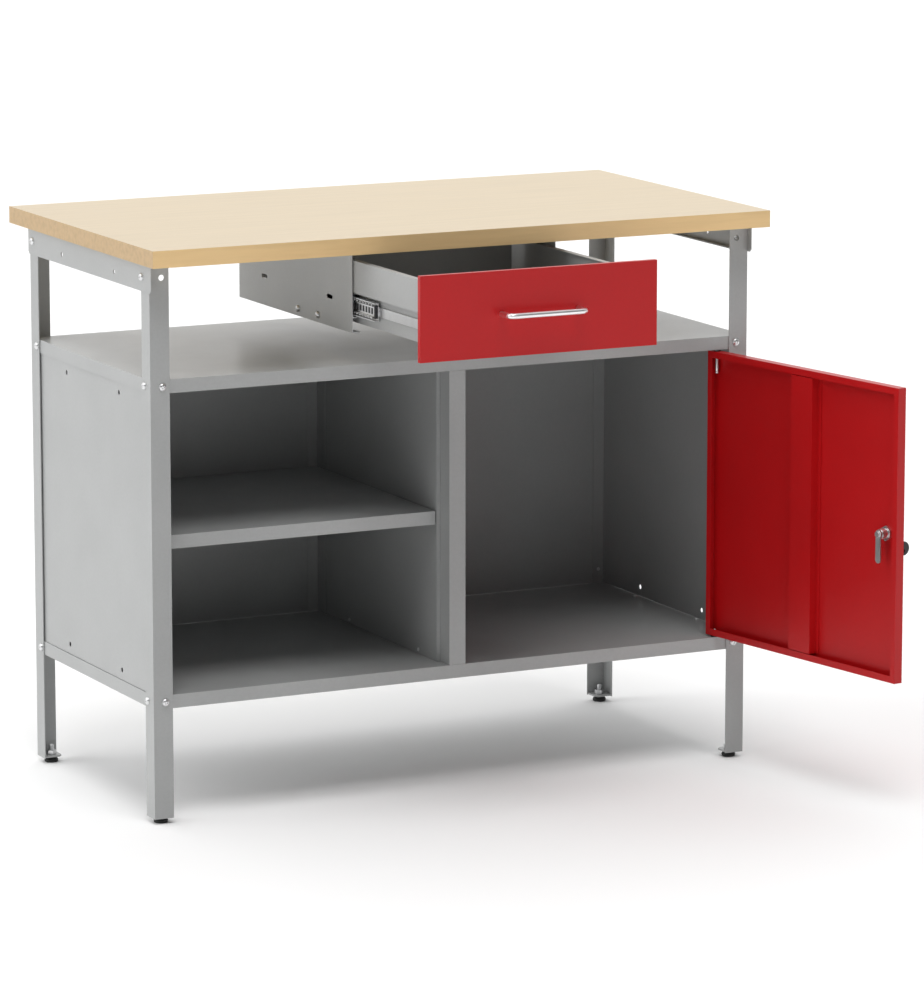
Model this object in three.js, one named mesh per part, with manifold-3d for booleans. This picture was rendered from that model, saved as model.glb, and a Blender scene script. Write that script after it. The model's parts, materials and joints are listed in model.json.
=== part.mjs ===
// Workbench with a board top, an open shelf, one drawer on ball slides and a lockable cabinet.
// Millimetres, +X to the right, +Y to the back, +Z up. Heights below are measured from the
// floor; the whole bench is then lowered so that the origin is the middle of the worktop face.
// The drawer is modelled pulled part of the way out and the door standing open.
import * as THREE from 'three';
import { mergeVertices } from 'three/addons/utils/BufferGeometryUtils.js';
import Module from 'manifold-3d';

const wasm = await Module();
wasm.setup();

// ---- driving dimensions -------------------------------------------------------------------

const BENCH_WIDTH = 1000;
const BENCH_DEPTH = 550;
const BENCH_HEIGHT = 845;
const TOP_THICKNESS = 25;
const GAP = 0.3; // air left between pieces that touch

const FRAME_HALF_WIDTH = 487; // outer faces of the legs
const FRAME_FRONT = -230;
const FRAME_BACK = 225;
const LEG_FLANGE = 30;
const LEG_SHEET = 1.5;
const LEG_BOTTOM = 8.3;

const RAIL_HEIGHT = 41;
const RAIL_FRONT = -239.7;
const RAIL_BACK = 227.2;
const RAIL_LIP = 12;
const RAIL_CHAMFER = 4;
const RAIL_HOLE_RADIUS = 3.5;
const RAIL_HOLE_HEIGHT = 15; // from the rail's lower edge

const TRAY_SHEET = 1.2;
const TRAY_HEIGHT = 20;
const UPPER_SHELF_TOP = 652;
const MIDDLE_SHELF_TOP = 418.7;
const BOTTOM_SHELF_TOP = 190.5;
const SHELF_LIP = 15;
const SHELF_LIP_END_GAP = 2; // from the lip's end to the leg beside it
const MIDDLE_SHELF_FRONT = -197.7;
const MIDDLE_SHELF_END_GAP = 2.2; // from the shelf's right end to the divider

const PANEL_SHEET = 1;
const PANEL_RETURN = 20;
const SIDE_HOLE_SPACING = 200;
const SIDE_HOLE_RADIUS = 3.7;
const SIDE_HOLE_INSET = 15; // from the fold of each shelf to the hole below or above it
const SIDE_HOLES_FORWARD = 2.5; // the side holes sit ahead of the frame's middle

const DIVIDER_LEFT = -17;
const DIVIDER_THICKNESS = 6;
const DIVIDER_REAR_GAP = 2;
const FRONT_POST_LEFT = -10.7;
const FRONT_POST_RIGHT = 15.6;
const FRONT_POST_DEPTH = 45;
const REAR_POST_DEPTH = 30;
const REAR_POST_FACE = 18;

const HOUSING_HALF_WIDTH = 166;
const HOUSING_FRONT = -224;
const HOUSING_BACK = 178;
const HOUSING_BOTTOM = 698.3;
const HOUSING_SHEET = 1.2;
const HOUSING_LIP = 13;
const HOUSING_STRAP_HEIGHT = 45;
const HOUSING_SLOT_Z = 742.2;
const HOUSING_SLOTS_Y = [-147, 85];
const HOUSING_SLOT_HALF_LENGTH = 7;
const HOUSING_SLOT_RADIUS = 3.2;

const DRAWER_OPEN = 265; // how far the drawer stands out
const DRAWER_LENGTH = 379;
const DRAWER_TOP = 804.5;
const DRAWER_BOTTOM = 711;
const DRAWER_UPPER_HALF = 163.3;
const DRAWER_LOWER_HALF = 151.8;
const DRAWER_STEP_Z = 757.2;
const DRAWER_SHEET = 1;
const DRAWER_HEM = 9;
const FRONT_HALF_WIDTH = 188.6;
const FRONT_BOTTOM = 695;
const FRONT_TOP = 818.4;
const FRONT_THICKNESS = 8;

const SLIDE_Z = 737.5;
const SLIDE_OUTER_HEIGHT = 35;
const SLIDE_MIDDLE_HEIGHT = 27;
const SLIDE_INNER_HEIGHT = 14;
const SLIDE_SHEET = 1.2;
const SLIDE_OUTER_DEPTH = 7;
const SLIDE_OUTER_INSET = [2, 4]; // from the housing's front and back edges
const SLIDE_MIDDLE_WEB = 3.2; // from the space's inner side to the middle channel's web
const SLIDE_INNER_DEPTH = 2.8;
const SLIDE_MIDDLE_LENGTH = 330;
const SLIDE_MIDDLE_FRONT = -292;

const HANDLE_RADIUS = 4;
const HANDLE_HALF_LENGTH = 65;
const HANDLE_POST_X = 60;
const HANDLE_STANDOFF = 28; // from the drawer front to the bar's axis

const DOOR_WIDTH = 436.8;
const DOOR_THICKNESS = 14.2;
const DOOR_BOTTOM = 193.4;
const DOOR_TOP = 629.3;
const DOOR_SHEET = 1;
const DOOR_LIP = 10;
const DOOR_HINGE_EDGE = 453.5; // the closed door's right edge
const DOOR_OPEN_DEGREES = 100;
const PIVOT_INSET = 13; // from the door's edge to the hinge axis
const PIVOT_DEPTH = 7.2; // from the door's outer face to the hinge axis
const HINGE_PIN_RADIUS = 2.5;
const HINGE_PIN_CLEARANCE = 0.1;
const HINGE_PIN_REACH = { upper: 9, lower: 6 }; // beyond the door's edge
const HINGE_PIN_INSIDE = { upper: 34, lower: 9 };
const BUSH_RADIUS = 4.2;
const STIFFENER_NEAR = 197; // from the hinge edge
const STIFFENER_FAR = 243;

const LOCK_FROM_HINGE_EDGE = 400;
const LOCK_Z = 410;
const LOCK_RADIUS = 8;
const LOCK_COLLAR_RADIUS = 10;
const CAM_LENGTH = 43;
const CAM_WIDTH = 13;
const CAM_SPAN = [1.4, 3.4]; // from the door's inner edge to the cam's two faces
const LOCK_NUT_RADIUS = 11.5;
const LOCK_NUT_HEIGHT = 3;
const KEY_RADIUS = 2.6;

const FOOT_RADIUS = 10.5;
const FOOT_HEIGHT = 6.5;
const FOOT_INSET = 15.8; // from the leg's outer corner to the stud's axis
const STUD_RADIUS = 4;
const STUD_TOP = 27;
const STUD_CLEARANCE = 0.3;
const FOOT_PLATE_BOTTOM = 9;
const FOOT_PLATE_THICKNESS = 2.5;
const FOOT_PLATE_REACH = 29;
const FOOT_PLATE_CUT = 24;
const NUT_ACROSS_FLATS = 13;
const NUT_HEIGHT = 6.5;

// ---- materials ----------------------------------------------------------------------------

const paint = (color, roughness, metalness) =>
  new THREE.MeshStandardMaterial({ color, roughness, metalness });

const boardMaterial = paint(0xe6d5b3, 0.55, 0);
const greyPaint = paint(0xa9abaa, 0.5, 0.1);
const redPaint = paint(0xb0262c, 0.4, 0.1);
const zincMaterial = paint(0xc6c7c4, 0.3, 0.9);
const chromeMaterial = paint(0xe2e2e4, 0.12, 1);
const rubberMaterial = paint(0x161616, 0.8, 0);
const plasticMaterial = paint(0x1c1c1e, 0.5, 0);

// ---- solids -------------------------------------------------------------------------------

function toManifold(geometry) {
  const bare = geometry.clone();
  bare.deleteAttribute('normal');
  bare.deleteAttribute('uv');
  const merged = mergeVertices(bare, 1e-4);
  const mesh = new wasm.Mesh({
    numProp: 3,
    vertProperties: new Float32Array(merged.attributes.position.array),
    triVerts: new Uint32Array(merged.index.array),
  });
  return new wasm.Manifold(mesh);
}

function toGeometry(solid) {
  const mesh = solid.getMesh();
  const geometry = new THREE.BufferGeometry();
  geometry.setAttribute('position', new THREE.BufferAttribute(mesh.vertProperties, 3));
  geometry.setIndex(new THREE.BufferAttribute(mesh.triVerts, 1));
  geometry.computeVertexNormals();
  return geometry;
}

function box([x0, x1], [y0, y1], [z0, z1]) {
  const geometry = new THREE.BoxGeometry(x1 - x0, y1 - y0, z1 - z0);
  geometry.translate((x0 + x1) / 2, (y0 + y1) / 2, (z0 + z1) / 2);
  return toManifold(geometry);
}

// A round bar, or a hexagon with six sides, along one axis between two stations.
function bar(axis, radius, [a0, a1], center, sides = 20) {
  const geometry = new THREE.CylinderGeometry(radius, radius, a1 - a0, sides);
  const middle = (a0 + a1) / 2;
  if (axis === 'x') {
    geometry.rotateZ(Math.PI / 2);
    geometry.translate(middle, center[0], center[1]);
  } else if (axis === 'y') {
    geometry.translate(center[0], middle, center[1]);
  } else {
    geometry.rotateX(Math.PI / 2);
    geometry.translate(center[0], center[1], middle);
  }
  return toManifold(geometry);
}

// An outline in X and Z pushed along Y, or an outline in X and Y pushed along Z.
function extrude(axis, outline, [a0, a1]) {
  const shape = new THREE.Shape(outline.map(([u, v]) => new THREE.Vector2(u, v)));
  const geometry = new THREE.ExtrudeGeometry(shape, { depth: a1 - a0, bevelEnabled: false });
  if (axis === 'y') {
    geometry.rotateX(Math.PI / 2);
    geometry.translate(0, a1, 0);
  } else {
    geometry.translate(0, 0, a0);
  }
  return toManifold(geometry);
}

// The outline of a bent sheet: a path along one face, and the other face to the path's left.
function sheetOutline(path, thickness) {
  const left = ([ax, ay], [bx, by]) => {
    const length = Math.hypot(bx - ax, by - ay);
    return [(-(by - ay) / length) * thickness, ((bx - ax) / length) * thickness];
  };
  const other = path.map(([x, y], i) => {
    const before = left(path[Math.max(i - 1, 0)], path[Math.max(i, 1)]);
    const last = path.length - 1;
    const after = left(path[Math.min(i, last - 1)], path[Math.min(i + 1, last)]);
    const straight = i === 0 || i === last;
    return straight
      ? [x + (i === 0 ? after : before)[0], y + (i === 0 ? after : before)[1]]
      : [x + before[0] + after[0], y + before[1] + after[1]];
  });
  return [...path, ...other.reverse()];
}

function joined(...solids) {
  return solids.reduce((whole, solid) => whole.add(solid));
}

function drilled(solid, ...holes) {
  return holes.reduce((rest, hole) => rest.subtract(hole), solid);
}

// Mirrors a solid to the other side of the bench.
function onSide(solid, side) {
  return side < 0 ? solid : solid.mirror([1, 0, 0]);
}

function piece(name, solid, material, parent) {
  const mesh = new THREE.Mesh(toGeometry(solid), material);
  mesh.name = name;
  parent.add(mesh);
}

const SIDES = [['left', -1], ['right', 1]];
const UNDER_TOP = BENCH_HEIGHT - TOP_THICKNESS - GAP;

// ---- worktop, legs, rails and feet --------------------------------------------------------

function worktop() {
  return box(
    [-BENCH_WIDTH / 2, BENCH_WIDTH / 2],
    [-BENCH_DEPTH / 2, BENCH_DEPTH / 2],
    [BENCH_HEIGHT - TOP_THICKNESS, BENCH_HEIGHT],
  );
}

// The left leg's angle section; back legs turn the section round.
function leg(back) {
  const outer = -FRAME_HALF_WIDTH;
  const corner = back ? FRAME_BACK : FRAME_FRONT;
  const inward = back ? -1 : 1;
  const sideFlange = box(
    [outer, outer + LEG_SHEET],
    [corner, corner + inward * LEG_FLANGE].sort((a, b) => a - b),
    [LEG_BOTTOM, UNDER_TOP],
  );
  const faceFlange = box(
    [outer, outer + LEG_FLANGE],
    [corner, corner + inward * LEG_SHEET].sort((a, b) => a - b),
    [LEG_BOTTOM, UNDER_TOP],
  );
  const holeRadius = 4.5;
  const fixingInset = 18.7;
  const hole = bar(
    'y',
    holeRadius,
    [corner - LEG_FLANGE, corner + LEG_FLANGE],
    [outer + fixingInset, UNDER_TOP - 20],
  );
  return drilled(joined(sideFlange, faceFlange), hole);
}

function footPlate(back) {
  const inner = LEG_SHEET + GAP;
  const inward = back ? -1 : 1;
  const outline = [
    [inner, inner],
    [FOOT_PLATE_REACH, inner],
    [FOOT_PLATE_REACH, FOOT_PLATE_CUT],
    [FOOT_PLATE_CUT, FOOT_PLATE_REACH],
    [inner, FOOT_PLATE_REACH],
  ];
  const corner = back ? FRAME_BACK : FRAME_FRONT;
  const placed = outline.map(([u, v]) => [u - FRAME_HALF_WIDTH, corner + inward * v]);
  const plate = extrude(
    'z',
    placed,
    [FOOT_PLATE_BOTTOM, FOOT_PLATE_BOTTOM + FOOT_PLATE_THICKNESS],
  );
  return drilled(plate, bar('z', STUD_RADIUS + STUD_CLEARANCE, [0, STUD_TOP], footCenter(back)));
}

function footCenter(back) {
  const corner = back ? FRAME_BACK - FOOT_INSET : FRAME_FRONT + FOOT_INSET;
  return [-FRAME_HALF_WIDTH + FOOT_INSET, corner];
}

function levellingFoot(back) {
  const center = footCenter(back);
  const padSides = 28;
  const pad = bar('z', FOOT_RADIUS, [0, FOOT_HEIGHT], center, padSides);
  return joined(pad, bar('z', STUD_RADIUS, [FOOT_HEIGHT - 1, STUD_TOP], center));
}

function footNut(back) {
  const bottom = FOOT_PLATE_BOTTOM + FOOT_PLATE_THICKNESS + GAP;
  const cornerRadius = NUT_ACROSS_FLATS / 2 / Math.cos(Math.PI / 6);
  const nut = bar('z', cornerRadius, [bottom, bottom + NUT_HEIGHT], footCenter(back), 6);
  const bore = bar('z', STUD_RADIUS + STUD_CLEARANCE, [0, STUD_TOP], footCenter(back));
  return drilled(nut, bore);
}

// The rail lies on the outside of both legs of its side, with lips turned in between them.
function sideRail() {
  const outer = -FRAME_HALF_WIDTH - GAP - LEG_SHEET;
  const bottom = UNDER_TOP - RAIL_HEIGHT;
  const face = box([outer, outer + LEG_SHEET], [RAIL_FRONT, RAIL_BACK], [bottom, UNDER_TOP]);
  const lipSpan = [FRAME_FRONT + LEG_FLANGE + GAP, FRAME_BACK - LEG_FLANGE - GAP];
  const lips = [bottom, UNDER_TOP - LEG_SHEET].map((z) =>
    box([outer, outer + RAIL_LIP], lipSpan, [z, z + LEG_SHEET]),
  );
  const holes = [-1, 1].map((end) =>
    bar(
      'x',
      RAIL_HOLE_RADIUS,
      [outer - LEG_SHEET, outer + 2 * LEG_SHEET],
      [sideHolesMiddle() + (end * SIDE_HOLE_SPACING) / 2, bottom + RAIL_HOLE_HEIGHT],
    ),
  );
  const cuts = [RAIL_FRONT, RAIL_BACK].map((y) =>
    bar('x', RAIL_CHAMFER, [outer - 1, outer + LEG_SHEET + 1], [y, bottom], 4),
  );
  return drilled(joined(face, ...lips), ...holes, ...cuts);
}

function sideHolesMiddle() {
  return (FRAME_FRONT + FRAME_BACK) / 2 - SIDE_HOLES_FORWARD;
}

// ---- shelves and panels -------------------------------------------------------------------

const TRAY_HALF_WIDTH = FRAME_HALF_WIDTH - LEG_SHEET - GAP;
const TRAY_FRONT = FRAME_FRONT + LEG_SHEET + GAP;
const TRAY_BACK = FRAME_BACK - LEG_SHEET - GAP;
const PANEL_OUTER = TRAY_HALF_WIDTH - TRAY_SHEET - GAP;
const PANEL_BOTTOM = BOTTOM_SHELF_TOP + GAP;
const PANEL_TOP = UPPER_SHELF_TOP - TRAY_SHEET - GAP;
const BACK_PANEL_REAR = TRAY_BACK - TRAY_SHEET - GAP;
const REAR_FLANGE_REAR = BACK_PANEL_REAR - PANEL_SHEET - GAP;

// A sheet with its four edges turned down.
function tray([x0, x1], [y0, y1], top) {
  const block = box([x0, x1], [y0, y1], [top - TRAY_HEIGHT, top]);
  const hollow = box(
    [x0 + TRAY_SHEET, x1 - TRAY_SHEET],
    [y0 + TRAY_SHEET, y1 - TRAY_SHEET],
    [top - TRAY_HEIGHT - 1, top - TRAY_SHEET],
  );
  return block.subtract(hollow);
}

function fullTray(top) {
  return tray([-TRAY_HALF_WIDTH, TRAY_HALF_WIDTH], [TRAY_FRONT, TRAY_BACK], top);
}

// The upper shelf's front edge is turned in again under itself, which carries the door's top pin.
function upperShelf() {
  const lipEnd = FRAME_HALF_WIDTH - LEG_FLANGE - SHELF_LIP_END_GAP;
  const bottom = UPPER_SHELF_TOP - TRAY_HEIGHT;
  const lip = box(
    [-lipEnd, lipEnd],
    [TRAY_FRONT, TRAY_FRONT + SHELF_LIP],
    [bottom, bottom + TRAY_SHEET],
  );
  const shelf = joined(fullTray(UPPER_SHELF_TOP), lip);
  return drilled(shelf, bar('z', BUSH_RADIUS + GAP, [bottom - 1, bottom + 3], hingeAxis()));
}

function bottomShelf() {
  const hole = bar(
    'z',
    BUSH_RADIUS + GAP,
    [BOTTOM_SHELF_TOP - 3, BOTTOM_SHELF_TOP + 1],
    hingeAxis(),
  );
  return drilled(fullTray(BOTTOM_SHELF_TOP), hole);
}

function middleShelf() {
  const left = -PANEL_OUTER + PANEL_SHEET + GAP;
  const right = DIVIDER_LEFT - MIDDLE_SHELF_END_GAP;
  const back = REAR_FLANGE_REAR - PANEL_SHEET - GAP;
  return tray([left, right], [MIDDLE_SHELF_FRONT, back], MIDDLE_SHELF_TOP);
}

function sidePanel() {
  const outer = -PANEL_OUTER;
  const front = TRAY_FRONT + TRAY_SHEET + GAP;
  const path = [
    [outer + PANEL_RETURN, front],
    [outer, front],
    [outer, REAR_FLANGE_REAR],
    [outer + PANEL_RETURN, REAR_FLANGE_REAR],
  ];
  const sheet = extrude(
    'z',
    sheetOutline(path, -PANEL_SHEET),
    [PANEL_BOTTOM, PANEL_TOP],
  );
  const holeHeights = [
    BOTTOM_SHELF_TOP + SIDE_HOLE_INSET,
    UPPER_SHELF_TOP - TRAY_HEIGHT - SIDE_HOLE_INSET,
  ];
  const holes = holeHeights.flatMap((z) =>
    [-1, 1].map((end) =>
      bar(
        'x',
        SIDE_HOLE_RADIUS,
        [outer - 1, outer + 3],
        [sideHolesMiddle() + (end * SIDE_HOLE_SPACING) / 2, z],
      ),
    ),
  );
  return drilled(sheet, ...holes);
}

// The back's bottom edge is folded back on itself, so no light shows under it.
function backPanel() {
  const half = PANEL_OUTER - PANEL_SHEET - GAP;
  const hemHeight = 8;
  const sheet = box(
    [-half, half],
    [BACK_PANEL_REAR - PANEL_SHEET, BACK_PANEL_REAR],
    [PANEL_BOTTOM, PANEL_TOP],
  );
  const hem = box(
    [-half, half],
    [BACK_PANEL_REAR - PANEL_SHEET, TRAY_BACK],
    [PANEL_BOTTOM, PANEL_BOTTOM + hemHeight],
  );
  return joined(sheet, hem);
}

function divider() {
  const right = DIVIDER_LEFT + DIVIDER_THICKNESS;
  const y = [MIDDLE_SHELF_FRONT, REAR_FLANGE_REAR - PANEL_SHEET - DIVIDER_REAR_GAP];
  const block = box([DIVIDER_LEFT, right], y, [PANEL_BOTTOM, PANEL_TOP]);
  const hollow = box(
    [DIVIDER_LEFT + PANEL_SHEET, right + 1],
    [y[0] + PANEL_SHEET, y[1] - PANEL_SHEET],
    [PANEL_BOTTOM + PANEL_SHEET, PANEL_TOP - PANEL_SHEET],
  );
  return block.subtract(hollow);
}

function frontPost() {
  const height = [PANEL_BOTTOM, UPPER_SHELF_TOP - TRAY_HEIGHT - GAP];
  const face = box(
    [FRONT_POST_LEFT, FRONT_POST_RIGHT],
    [TRAY_FRONT, TRAY_FRONT + LEG_SHEET],
    height,
  );
  const side = box(
    [FRONT_POST_LEFT, FRONT_POST_LEFT + LEG_SHEET],
    [TRAY_FRONT, TRAY_FRONT + FRONT_POST_DEPTH],
    height,
  );
  return joined(face, side);
}

function rearPost() {
  const right = DIVIDER_LEFT - GAP;
  const height = [PANEL_BOTTOM, PANEL_TOP];
  const side = box(
    [right - PANEL_SHEET, right],
    [REAR_FLANGE_REAR - REAR_POST_DEPTH, REAR_FLANGE_REAR],
    height,
  );
  const face = box(
    [right - REAR_POST_FACE, right],
    [REAR_FLANGE_REAR - PANEL_SHEET, REAR_FLANGE_REAR],
    height,
  );
  return joined(side, face);
}

// ---- drawer housing, slides and drawer ----------------------------------------------------

function housingSide() {
  const outer = -HOUSING_HALF_WIDTH;
  const y = [HOUSING_FRONT, HOUSING_BACK];
  const face = box([outer, outer + HOUSING_SHEET], y, [HOUSING_BOTTOM, UNDER_TOP]);
  const lips = [HOUSING_BOTTOM, UNDER_TOP - HOUSING_SHEET].map((z) =>
    box([outer, outer + HOUSING_LIP], y, [z, z + HOUSING_SHEET]),
  );
  return drilled(joined(face, ...lips), ...fixingSlots());
}

// Slots through the housing side and the slide's outer channel behind it.
function fixingSlots() {
  const halfLength = HOUSING_SLOT_HALF_LENGTH;
  const radius = HOUSING_SLOT_RADIUS;
  const across = [-HOUSING_HALF_WIDTH - 1, -HOUSING_HALF_WIDTH + 4];
  return HOUSING_SLOTS_Y.flatMap((middle) => [
    bar('x', radius, across, [middle - halfLength, HOUSING_SLOT_Z], 16),
    bar('x', radius, across, [middle + halfLength, HOUSING_SLOT_Z], 16),
    box(
      across,
      [middle - halfLength, middle + halfLength],
      [HOUSING_SLOT_Z - radius, HOUSING_SLOT_Z + radius],
    ),
  ]);
}

// A low strap ties the two housing plates together and leaves the back of the housing open.
function housingBack() {
  const half = HOUSING_HALF_WIDTH - HOUSING_SHEET - GAP;
  return box(
    [-half, half],
    [HOUSING_BACK - HOUSING_SHEET, HOUSING_BACK],
    [HOUSING_BOTTOM + HOUSING_SHEET + GAP, HOUSING_BOTTOM + HOUSING_STRAP_HEIGHT],
  );
}

// A channel lying along Y: a web and two edges turned towards the drawer or away from it.
function channel([web, edge], height, y) {
  const half = height / 2;
  const sheet = web < edge ? SLIDE_SHEET : -SLIDE_SHEET;
  const ordered = (a, b) => [Math.min(a, b), Math.max(a, b)];
  const face = box(ordered(web, web + sheet), y, [SLIDE_Z - half, SLIDE_Z + half]);
  const edges = [SLIDE_Z - half, SLIDE_Z + half - SLIDE_SHEET].map((z) =>
    box(ordered(web, edge), y, [z, z + SLIDE_SHEET]),
  );
  return joined(face, ...edges);
}

const SLIDE_SPACE_OUTER = -HOUSING_HALF_WIDTH + HOUSING_SHEET + GAP;
const SLIDE_SPACE_INNER = -DRAWER_LOWER_HALF - GAP;
const DRAWER_FACE_BACK = HOUSING_FRONT - GAP - DRAWER_OPEN;
const DRAWER_Y = [DRAWER_FACE_BACK + GAP, DRAWER_FACE_BACK + GAP + DRAWER_LENGTH];

function outerSlide() {
  const slide = channel(
    [SLIDE_SPACE_OUTER, SLIDE_SPACE_OUTER + SLIDE_OUTER_DEPTH],
    SLIDE_OUTER_HEIGHT,
    [HOUSING_FRONT + SLIDE_OUTER_INSET[0], HOUSING_BACK - SLIDE_OUTER_INSET[1]],
  );
  return drilled(slide, ...fixingSlots());
}

function middleSlide() {
  const web = SLIDE_SPACE_INNER - SLIDE_MIDDLE_WEB;
  return channel(
    [web, SLIDE_SPACE_OUTER + 2],
    SLIDE_MIDDLE_HEIGHT,
    [SLIDE_MIDDLE_FRONT, SLIDE_MIDDLE_FRONT + SLIDE_MIDDLE_LENGTH],
  );
}

function innerSlide() {
  return channel(
    [SLIDE_SPACE_INNER - SLIDE_INNER_DEPTH, SLIDE_SPACE_INNER],
    SLIDE_INNER_HEIGHT,
    [DRAWER_Y[0] + 1, DRAWER_Y[1] - 2],
  );
}

// The side wall is wide above the slide and steps inwards to leave room for it.
function drawerSide() {
  const path = [
    [-DRAWER_UPPER_HALF + DRAWER_HEM, DRAWER_TOP],
    [-DRAWER_UPPER_HALF, DRAWER_TOP],
    [-DRAWER_UPPER_HALF, DRAWER_STEP_Z],
    [-DRAWER_LOWER_HALF, DRAWER_STEP_Z],
    [-DRAWER_LOWER_HALF, DRAWER_BOTTOM],
  ];
  return extrude('y', sheetOutline(path, DRAWER_SHEET), DRAWER_Y);
}

function drawerBottom() {
  const half = DRAWER_LOWER_HALF - DRAWER_SHEET - GAP;
  return box(
    [-half, half],
    [DRAWER_Y[0] + DRAWER_SHEET + GAP, DRAWER_Y[1] - DRAWER_SHEET - GAP],
    [DRAWER_BOTTOM, DRAWER_BOTTOM + DRAWER_SHEET],
  );
}

// The wall behind the drawer front follows the stepped shape of the sides.
function drawerBoxFront() {
  const inset = DRAWER_SHEET + GAP;
  const upper = DRAWER_UPPER_HALF - inset;
  const lower = DRAWER_LOWER_HALF - inset;
  const top = DRAWER_TOP - inset;
  const step = DRAWER_STEP_Z + inset;
  const outline = [
    [-lower, DRAWER_BOTTOM],
    [lower, DRAWER_BOTTOM],
    [lower, step],
    [upper, step],
    [upper, top],
    [-upper, top],
    [-upper, step],
    [-lower, step],
  ];
  return extrude('y', outline, [DRAWER_Y[0], DRAWER_Y[0] + DRAWER_SHEET]);
}

function drawerBack() {
  const half = DRAWER_LOWER_HALF - DRAWER_SHEET - GAP;
  const tab = 10;
  const back = [DRAWER_Y[1] - DRAWER_SHEET, DRAWER_Y[1]];
  const height = [DRAWER_BOTTOM, DRAWER_TOP - 2];
  const tabs = [-half, half - DRAWER_SHEET].map((x) =>
    box(
      [x, x + DRAWER_SHEET],
      [DRAWER_Y[1] - tab, DRAWER_Y[1]],
      [DRAWER_BOTTOM + DRAWER_SHEET + GAP, DRAWER_STEP_Z - 5],
    ),
  );
  return joined(box([-half, half], back, height), ...tabs);
}

function drawerFront() {
  const y = [DRAWER_FACE_BACK - FRONT_THICKNESS, DRAWER_FACE_BACK];
  const block = box([-FRONT_HALF_WIDTH, FRONT_HALF_WIDTH], y, [FRONT_BOTTOM, FRONT_TOP]);
  const hollow = box(
    [-FRONT_HALF_WIDTH + DRAWER_SHEET, FRONT_HALF_WIDTH - DRAWER_SHEET],
    [y[0] + DRAWER_SHEET, y[1] + 1],
    [FRONT_BOTTOM + DRAWER_SHEET, FRONT_TOP - DRAWER_SHEET],
  );
  const reliefs = [FRONT_BOTTOM + 4, FRONT_TOP - 7].map((z) =>
    box([-FRONT_HALF_WIDTH - 1, FRONT_HALF_WIDTH + 1], [y[0] + 1, y[0] + 3.5], [z, z + 3]),
  );
  return drilled(block, hollow, ...reliefs);
}

const FRONT_FACE = DRAWER_FACE_BACK - FRONT_THICKNESS;
const HANDLE_Z = (FRONT_BOTTOM + FRONT_TOP) / 2;
const HANDLE_Y = FRONT_FACE - HANDLE_STANDOFF;

// A round bar with softly domed ends, turned on its own axis.
function handleBar() {
  const dome = 1.6;
  const profile = [
    [0, -HANDLE_HALF_LENGTH],
    [HANDLE_RADIUS - dome, -HANDLE_HALF_LENGTH],
    [HANDLE_RADIUS, -HANDLE_HALF_LENGTH + dome],
    [HANDLE_RADIUS, HANDLE_HALF_LENGTH - dome],
    [HANDLE_RADIUS - dome, HANDLE_HALF_LENGTH],
    [0, HANDLE_HALF_LENGTH],
  ];
  const geometry = new THREE.LatheGeometry(profile.map(([r, h]) => new THREE.Vector2(r, h)), 20);
  geometry.rotateZ(Math.PI / 2);
  geometry.translate(0, HANDLE_Y, HANDLE_Z);
  return toManifold(geometry);
}

function handlePost() {
  const radius = 3.4;
  return bar(
    'y',
    radius,
    [HANDLE_Y + HANDLE_RADIUS + GAP, FRONT_FACE - GAP],
    [-HANDLE_POST_X, HANDLE_Z],
  );
}

// ---- door and lock ------------------------------------------------------------------------
// Door pieces are drawn closed, with the hinge axis at x = 0, y = 0, and their group turns them.

const DOOR_OUTER_Y = -PIVOT_DEPTH;
const DOOR_INNER_Y = DOOR_THICKNESS - PIVOT_DEPTH;
const DOOR_X = [PIVOT_INSET - DOOR_WIDTH, PIVOT_INSET];

function hingeAxis() {
  return [DOOR_HINGE_EDGE - PIVOT_INSET, FRAME_FRONT + PIVOT_DEPTH];
}

function lockX() {
  return PIVOT_INSET - LOCK_FROM_HINGE_EDGE;
}

function doorPanel() {
  const block = box(DOOR_X, [DOOR_OUTER_Y, DOOR_INNER_Y], [DOOR_BOTTOM, DOOR_TOP]);
  const hollow = box(
    [DOOR_X[0] + DOOR_SHEET, DOOR_X[1] - DOOR_SHEET],
    [DOOR_OUTER_Y + DOOR_SHEET, DOOR_INNER_Y - DOOR_SHEET],
    [DOOR_BOTTOM + DOOR_SHEET, DOOR_TOP - DOOR_SHEET],
  );
  const mouth = box(
    [DOOR_X[0] + DOOR_LIP, DOOR_X[1] - DOOR_LIP],
    [0, DOOR_INNER_Y + 1],
    [DOOR_BOTTOM + DOOR_LIP, DOOR_TOP - DOOR_LIP],
  );
  const pinHole = bar(
    'z',
    HINGE_PIN_RADIUS + HINGE_PIN_CLEARANCE,
    [DOOR_BOTTOM - 1, DOOR_TOP + 1],
    [0, 0],
  );
  const lockHole = bar('y', LOCK_RADIUS + GAP, [DOOR_OUTER_Y - 1, 0], [lockX(), LOCK_Z]);
  return drilled(block, hollow, mouth, pinHole, lockHole);
}

function doorStiffener() {
  const near = PIVOT_INSET - STIFFENER_NEAR;
  const far = PIVOT_INSET - STIFFENER_FAR;
  const base = DOOR_OUTER_Y + DOOR_SHEET + GAP;
  const crown = DOOR_INNER_Y - DOOR_SHEET;
  const foot = 8;
  const path = [
    [far - foot, base],
    [far, base],
    [far, crown],
    [near, crown],
    [near, base],
    [near + foot, base],
  ];
  return extrude(
    'z',
    sheetOutline(path, DOOR_SHEET),
    [DOOR_BOTTOM + DOOR_LIP + 1, DOOR_TOP - DOOR_LIP - 1],
  );
}

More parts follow.
